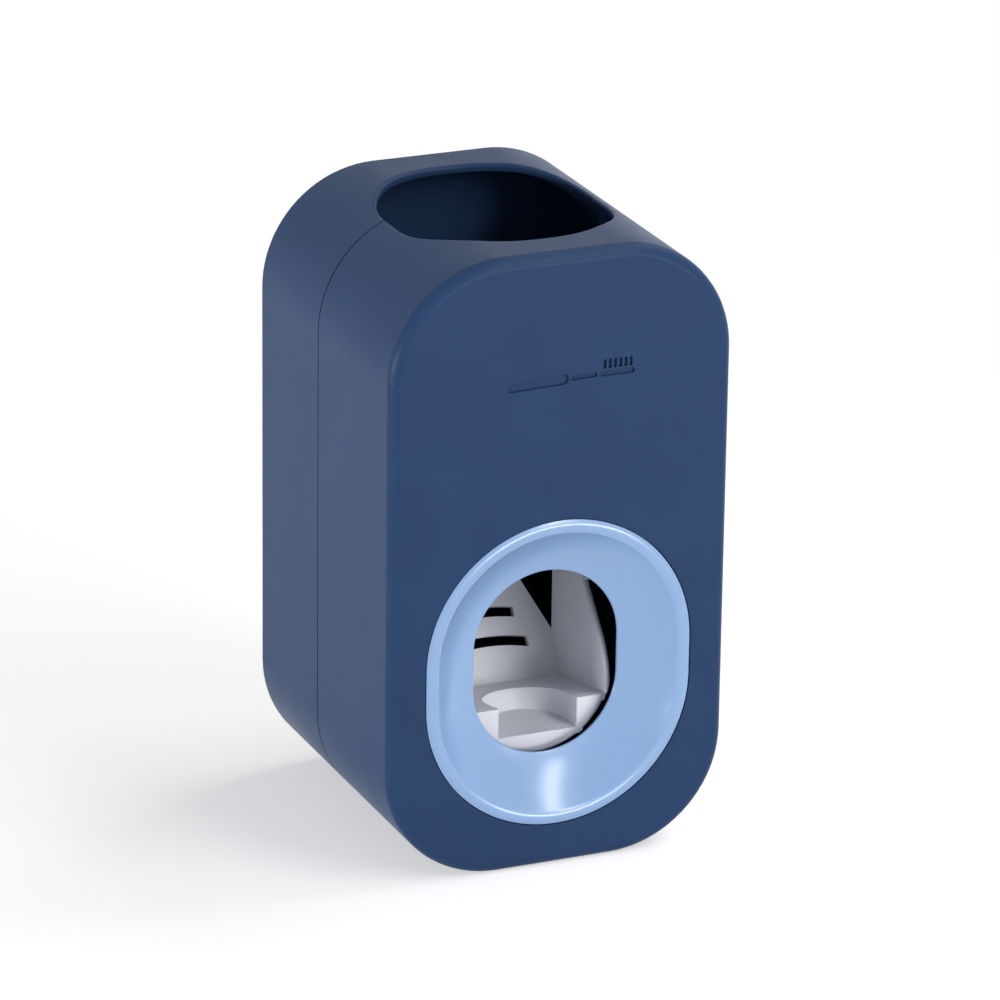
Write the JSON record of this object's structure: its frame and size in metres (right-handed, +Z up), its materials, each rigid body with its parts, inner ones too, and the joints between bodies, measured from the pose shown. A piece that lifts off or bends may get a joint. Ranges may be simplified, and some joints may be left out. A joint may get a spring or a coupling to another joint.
{
  "type": "toothpaste tube squeezer",
  "caption": "Wall-mounted toothpaste dispenser: rounded two-shell housing, tube slot on top, dished brush opening with a sprung push lever over a soft pump tube.",
  "frame": {"origin": "centre of the underside, midway between the bezel's rim and the face that goes on the wall", "axes": "+Z up, +Y towards the wall, so the front with the brush opening faces -Y"},
  "size_m": [0.062, 0.0624, 0.11],
  "materials": {
    "shell_plastic": "fine matte moulded navy",
    "bezel_plastic": "glossy light blue",
    "white_plastic": "satin moulded white",
    "silicone": "soft translucent grey",
    "steel": "plain bright",
    "foam": "closed cell foam tape"
  },
  "bodies": {
    "housing": {"rear_shell": "shell_plastic", "inner_frame": "white_plastic", "frame_screws": "steel", "lever_pin_left": "steel", "lever_pin_right": "steel", "lever_spring_left": "steel", "lever_spring_right": "steel", "pump_tube": "silicone", "valve_seat": "white_plastic", "inlet_valve": "silicone", "inlet_cup": "silicone", "neck_adapter": "silicone", "inlet_collar": "white_plastic", "collar_screws": "steel", "outlet_nozzle": "silicone", "nozzle_collar": "white_plastic"},
    "lever": {"push_lever": "white_plastic"},
    "front_cover": {"front_shell": "shell_plastic", "bezel_funnel": "bezel_plastic"},
    "wall_mount": {"wall_plate": "white_plastic", "adhesive_pad": "foam"}
  },
  "joints": [
    {"name": "lever_swing", "type": "hinge", "parent": "housing", "child": "lever", "pos_m": [0, -0.00595, 0.074], "axis": [1, 0, 0], "range_deg": [0, 15], "stiffness_Nm_per_rad": 0.2, "springref_deg": -11.46, "deforming": ["pump_tube", "lever_spring_left", "lever_spring_right"]},
    {"name": "cover_pull", "type": "slide", "parent": "housing", "child": "front_cover", "axis": [0, -1, 0], "range_m": [0, 0.06]},
    {"name": "mount_lift", "type": "slide", "parent": "housing", "child": "wall_mount", "axis": [0, 0, -1], "range_m": [0, 0.008]}
  ]
}
